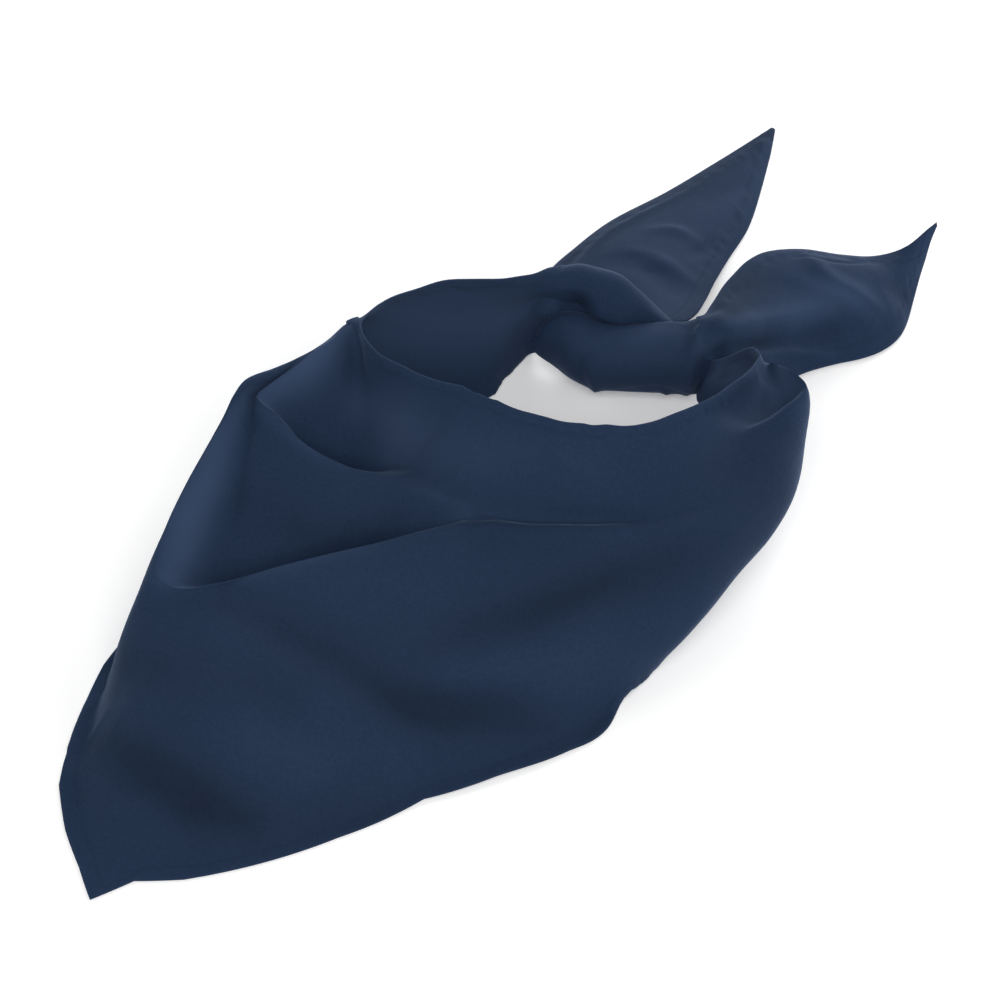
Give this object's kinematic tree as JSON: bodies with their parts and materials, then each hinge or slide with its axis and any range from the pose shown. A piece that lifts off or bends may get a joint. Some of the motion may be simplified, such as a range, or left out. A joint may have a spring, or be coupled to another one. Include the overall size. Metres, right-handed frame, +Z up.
{
  "type": "bandana",
  "caption": "Triangular cotton neckerchief tied in a loop with a knot and two tails, set down so that its front hangs in soft folds from a standing neck edge.",
  "frame": {"origin": "middle of the bounding box's footprint, on the surface it rests on", "axes": "+Z up; -Y towards the front corner of the cloth, +Y towards the tails; +X to the wearer's left"},
  "size_m": [0.24, 0.659, 0.0902],
  "materials": {
    "cloth": "plain navy woven cotton, matte with a faint sheen"
  },
  "bodies": {
    "root": {"front_drape": "cloth", "left_band": "cloth", "right_band": "cloth", "knot_crossing": "cloth", "knot_wrap": "cloth", "tail_back": "cloth", "tail_side": "cloth"}
  },
  "joints": []
}
